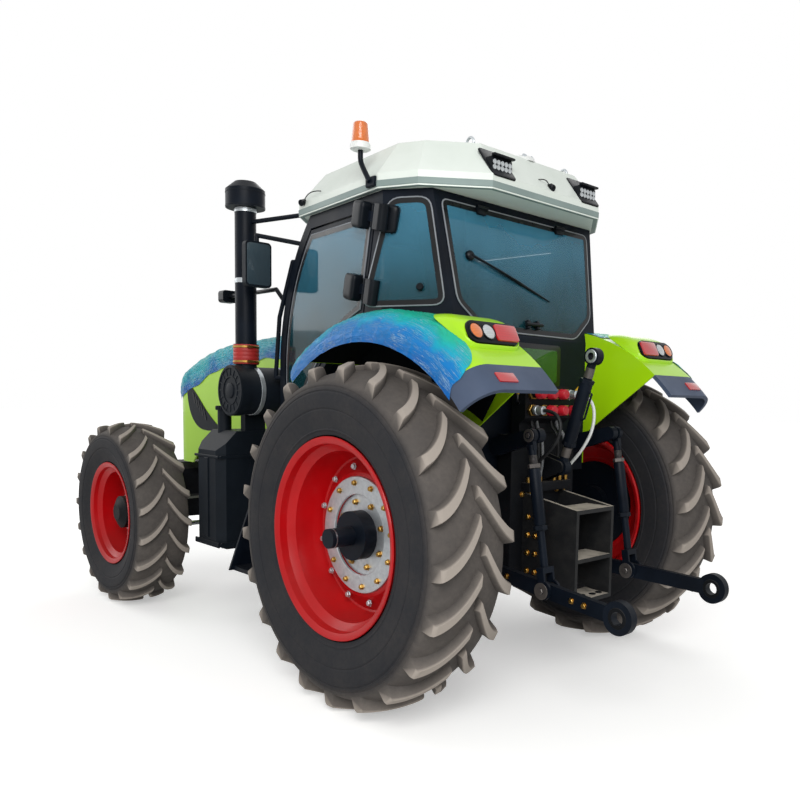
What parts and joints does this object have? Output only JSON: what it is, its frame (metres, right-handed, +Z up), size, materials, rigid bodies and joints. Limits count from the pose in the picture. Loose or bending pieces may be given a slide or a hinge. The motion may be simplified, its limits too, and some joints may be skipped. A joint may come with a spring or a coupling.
{
  "type": "farm tractor",
  "caption": "Four-wheel-drive farm tractor with glazed cab, opening doors and bonnet, steered front wheels and rear three-point linkage.",
  "frame": {"origin": "on the ground under the middle of the whole machine's length and width", "axes": "+X forward, +Y to the tractor's left, +Z up"},
  "size_m": [5.19, 2.497, 3.01],
  "materials": {
    "green_paint": "gloss",
    "red_paint": "satin",
    "black_paint": "satin",
    "casting": "satin",
    "axle_metal": "satin",
    "bright_steel": "satin",
    "tyre_rubber": "matt",
    "roof_white": "gloss",
    "tinted_glass": "gloss",
    "slate_trim": "satin",
    "black_plastic": "satin",
    "clear_lens": "gloss",
    "red_lens": "gloss",
    "amber_lens": "gloss",
    "cushion": "matt"
  },
  "bodies": {
    "chassis": {"transmission_housing": "casting", "rear_axle": "casting", "engine_block": "casting", "front_support": "casting", "front_weights": "casting", "front_axle": "casting", "steering_cylinder": "black_paint", "cab_frame": "black_paint", "cab_glass": "tinted_glass", "door_hinges": "black_plastic", "cab_floor": "black_plastic", "roof": "roof_white", "work_lamps": "clear_lens", "roof_fittings": "amber_lens", "fender_left": "green_paint", "fender_right": "green_paint", "fender_trim": "slate_trim", "tail_lamps": "red_lens", "fuel_tank": "black_plastic", "battery_box": "black_plastic", "air_cleaner": "black_plastic", "intake_stack": "black_paint", "exhaust_stack": "axle_metal", "cab_steps": "black_paint", "handrails": "black_paint", "mirrors": "black_plastic", "indicator_lamps": "amber_lens", "steering_console": "black_plastic", "seat": "cushion", "hitch_frame": "black_paint", "pto_shaft": "bright_steel", "hydraulic_couplers": "black_paint"},
    "rear_wheel_left": {"rear_tyre_left": "tyre_rubber", "rear_rim_left": "red_paint", "rear_hub_left": "bright_steel"},
    "rear_wheel_right": {"rear_tyre_right": "tyre_rubber", "rear_rim_right": "red_paint", "rear_hub_right": "bright_steel"},
    "steer_knuckle_left": {"knuckle_left": "casting"},
    "steer_knuckle_right": {"knuckle_right": "casting"},
    "front_wheel_left": {"front_tyre_left": "tyre_rubber", "front_rim_left": "red_paint", "front_hub_left": "casting"},
    "front_wheel_right": {"front_tyre_right": "tyre_rubber", "front_rim_right": "red_paint", "front_hub_right": "casting"},
    "tie_rod": {"steering_rod": "axle_metal"},
    "door_left": {"door_left_frame": "black_paint", "door_left_glass": "tinted_glass"},
    "door_right": {"door_right_frame": "black_paint", "door_right_glass": "tinted_glass"},
    "bonnet_lid": {"bonnet": "green_paint", "grille": "black_plastic", "headlamps": "clear_lens"},
    "rockshaft": {"lift_arms": "black_paint"},
    "lift_rod_pair": {"lift_rods": "black_paint"},
    "draft_links": {"lower_links": "black_paint"},
    "upper_link": {"top_link": "black_paint"}
  },
  "joints": [
    {"name": "rear_left_spin", "type": "hinge", "parent": "chassis", "child": "rear_wheel_left", "pos_m": [-1.31, 0.985, 0.8775], "axis": [0, 1, 0], "continuous": true},
    {"name": "rear_right_spin", "type": "hinge", "parent": "chassis", "child": "rear_wheel_right", "pos_m": [-1.31, -0.985, 0.8775], "axis": [0, 1, 0], "continuous": true},
    {"name": "steer_left", "type": "hinge", "parent": "chassis", "child": "steer_knuckle_left", "pos_m": [1.51, 0.87, 0.673], "axis": [0, 0, 1], "range_deg": [-45, 45]},
    {"name": "front_left_spin", "type": "hinge", "parent": "steer_knuckle_left", "child": "front_wheel_left", "pos_m": [1.51, 1.058, 0.673], "axis": [0, 1, 0], "continuous": true},
    {"name": "steer_right", "type": "hinge", "parent": "chassis", "child": "steer_knuckle_right", "pos_m": [1.51, -0.87, 0.673], "axis": [0, 0, 1], "range_deg": [-45, 45]},
    {"name": "front_right_spin", "type": "hinge", "parent": "steer_knuckle_right", "child": "front_wheel_right", "pos_m": [1.51, -1.058, 0.673], "axis": [0, 1, 0], "continuous": true},
    {"name": "tie_rod_slide", "type": "slide", "parent": "chassis", "child": "tie_rod", "axis": [0, 1, 0], "range_m": [-0.1345, 0.1345]},
    {"name": "door_left_hinge", "type": "hinge", "parent": "chassis", "child": "door_left", "pos_m": [-1.10144, 0.81263, 2.3], "axis": [-0.2229, 0.0245, 0.9745], "range_deg": [0, 75]},
    {"name": "door_right_hinge", "type": "hinge", "parent": "chassis", "child": "door_right", "pos_m": [-1.10144, -0.81263, 2.3], "axis": [0.2229, 0.0245, -0.9745], "range_deg": [0, 75]},
    {"name": "bonnet_hinge", "type": "hinge", "parent": "chassis", "child": "bonnet_lid", "pos_m": [0.16, 0, 1.945], "axis": [0, -1, 0], "range_deg": [0, 55]},
    {"name": "rockshaft_turn", "type": "hinge", "parent": "chassis", "child": "rockshaft", "pos_m": [-1.622, 0, 1.33], "axis": [0, 1, 0], "range_deg": [-30, 30]},
    {"name": "draft_link_swing", "type": "hinge", "parent": "chassis", "child": "draft_links", "pos_m": [-1.46, 0, 0.655], "axis": [0, 1, 0], "range_deg": [-15, 15]},
    {"name": "lift_rod_swing", "type": "hinge", "parent": "rockshaft", "child": "lift_rod_pair", "pos_m": [-1.894, 0, 1.4], "axis": [0, 1, 0], "range_deg": [-27, 27]},
    {"name": "upper_link_swing", "type": "hinge", "parent": "chassis", "child": "upper_link", "pos_m": [-1.805, 0, 1.215], "axis": [0, -1, 0], "range_deg": [0, 75]}
  ],
  "couplings": [
    {"joint": "steer_right", "follows": "steer_left", "ratio": 1},
    {"joint": "tie_rod_slide", "follows": "steer_left", "m_per_rad": -0.171},
    {"joint": "draft_link_swing", "follows": "rockshaft_turn", "ratio": 0.498},
    {"joint": "lift_rod_swing", "follows": "rockshaft_turn", "ratio": -0.889}
  ]
}
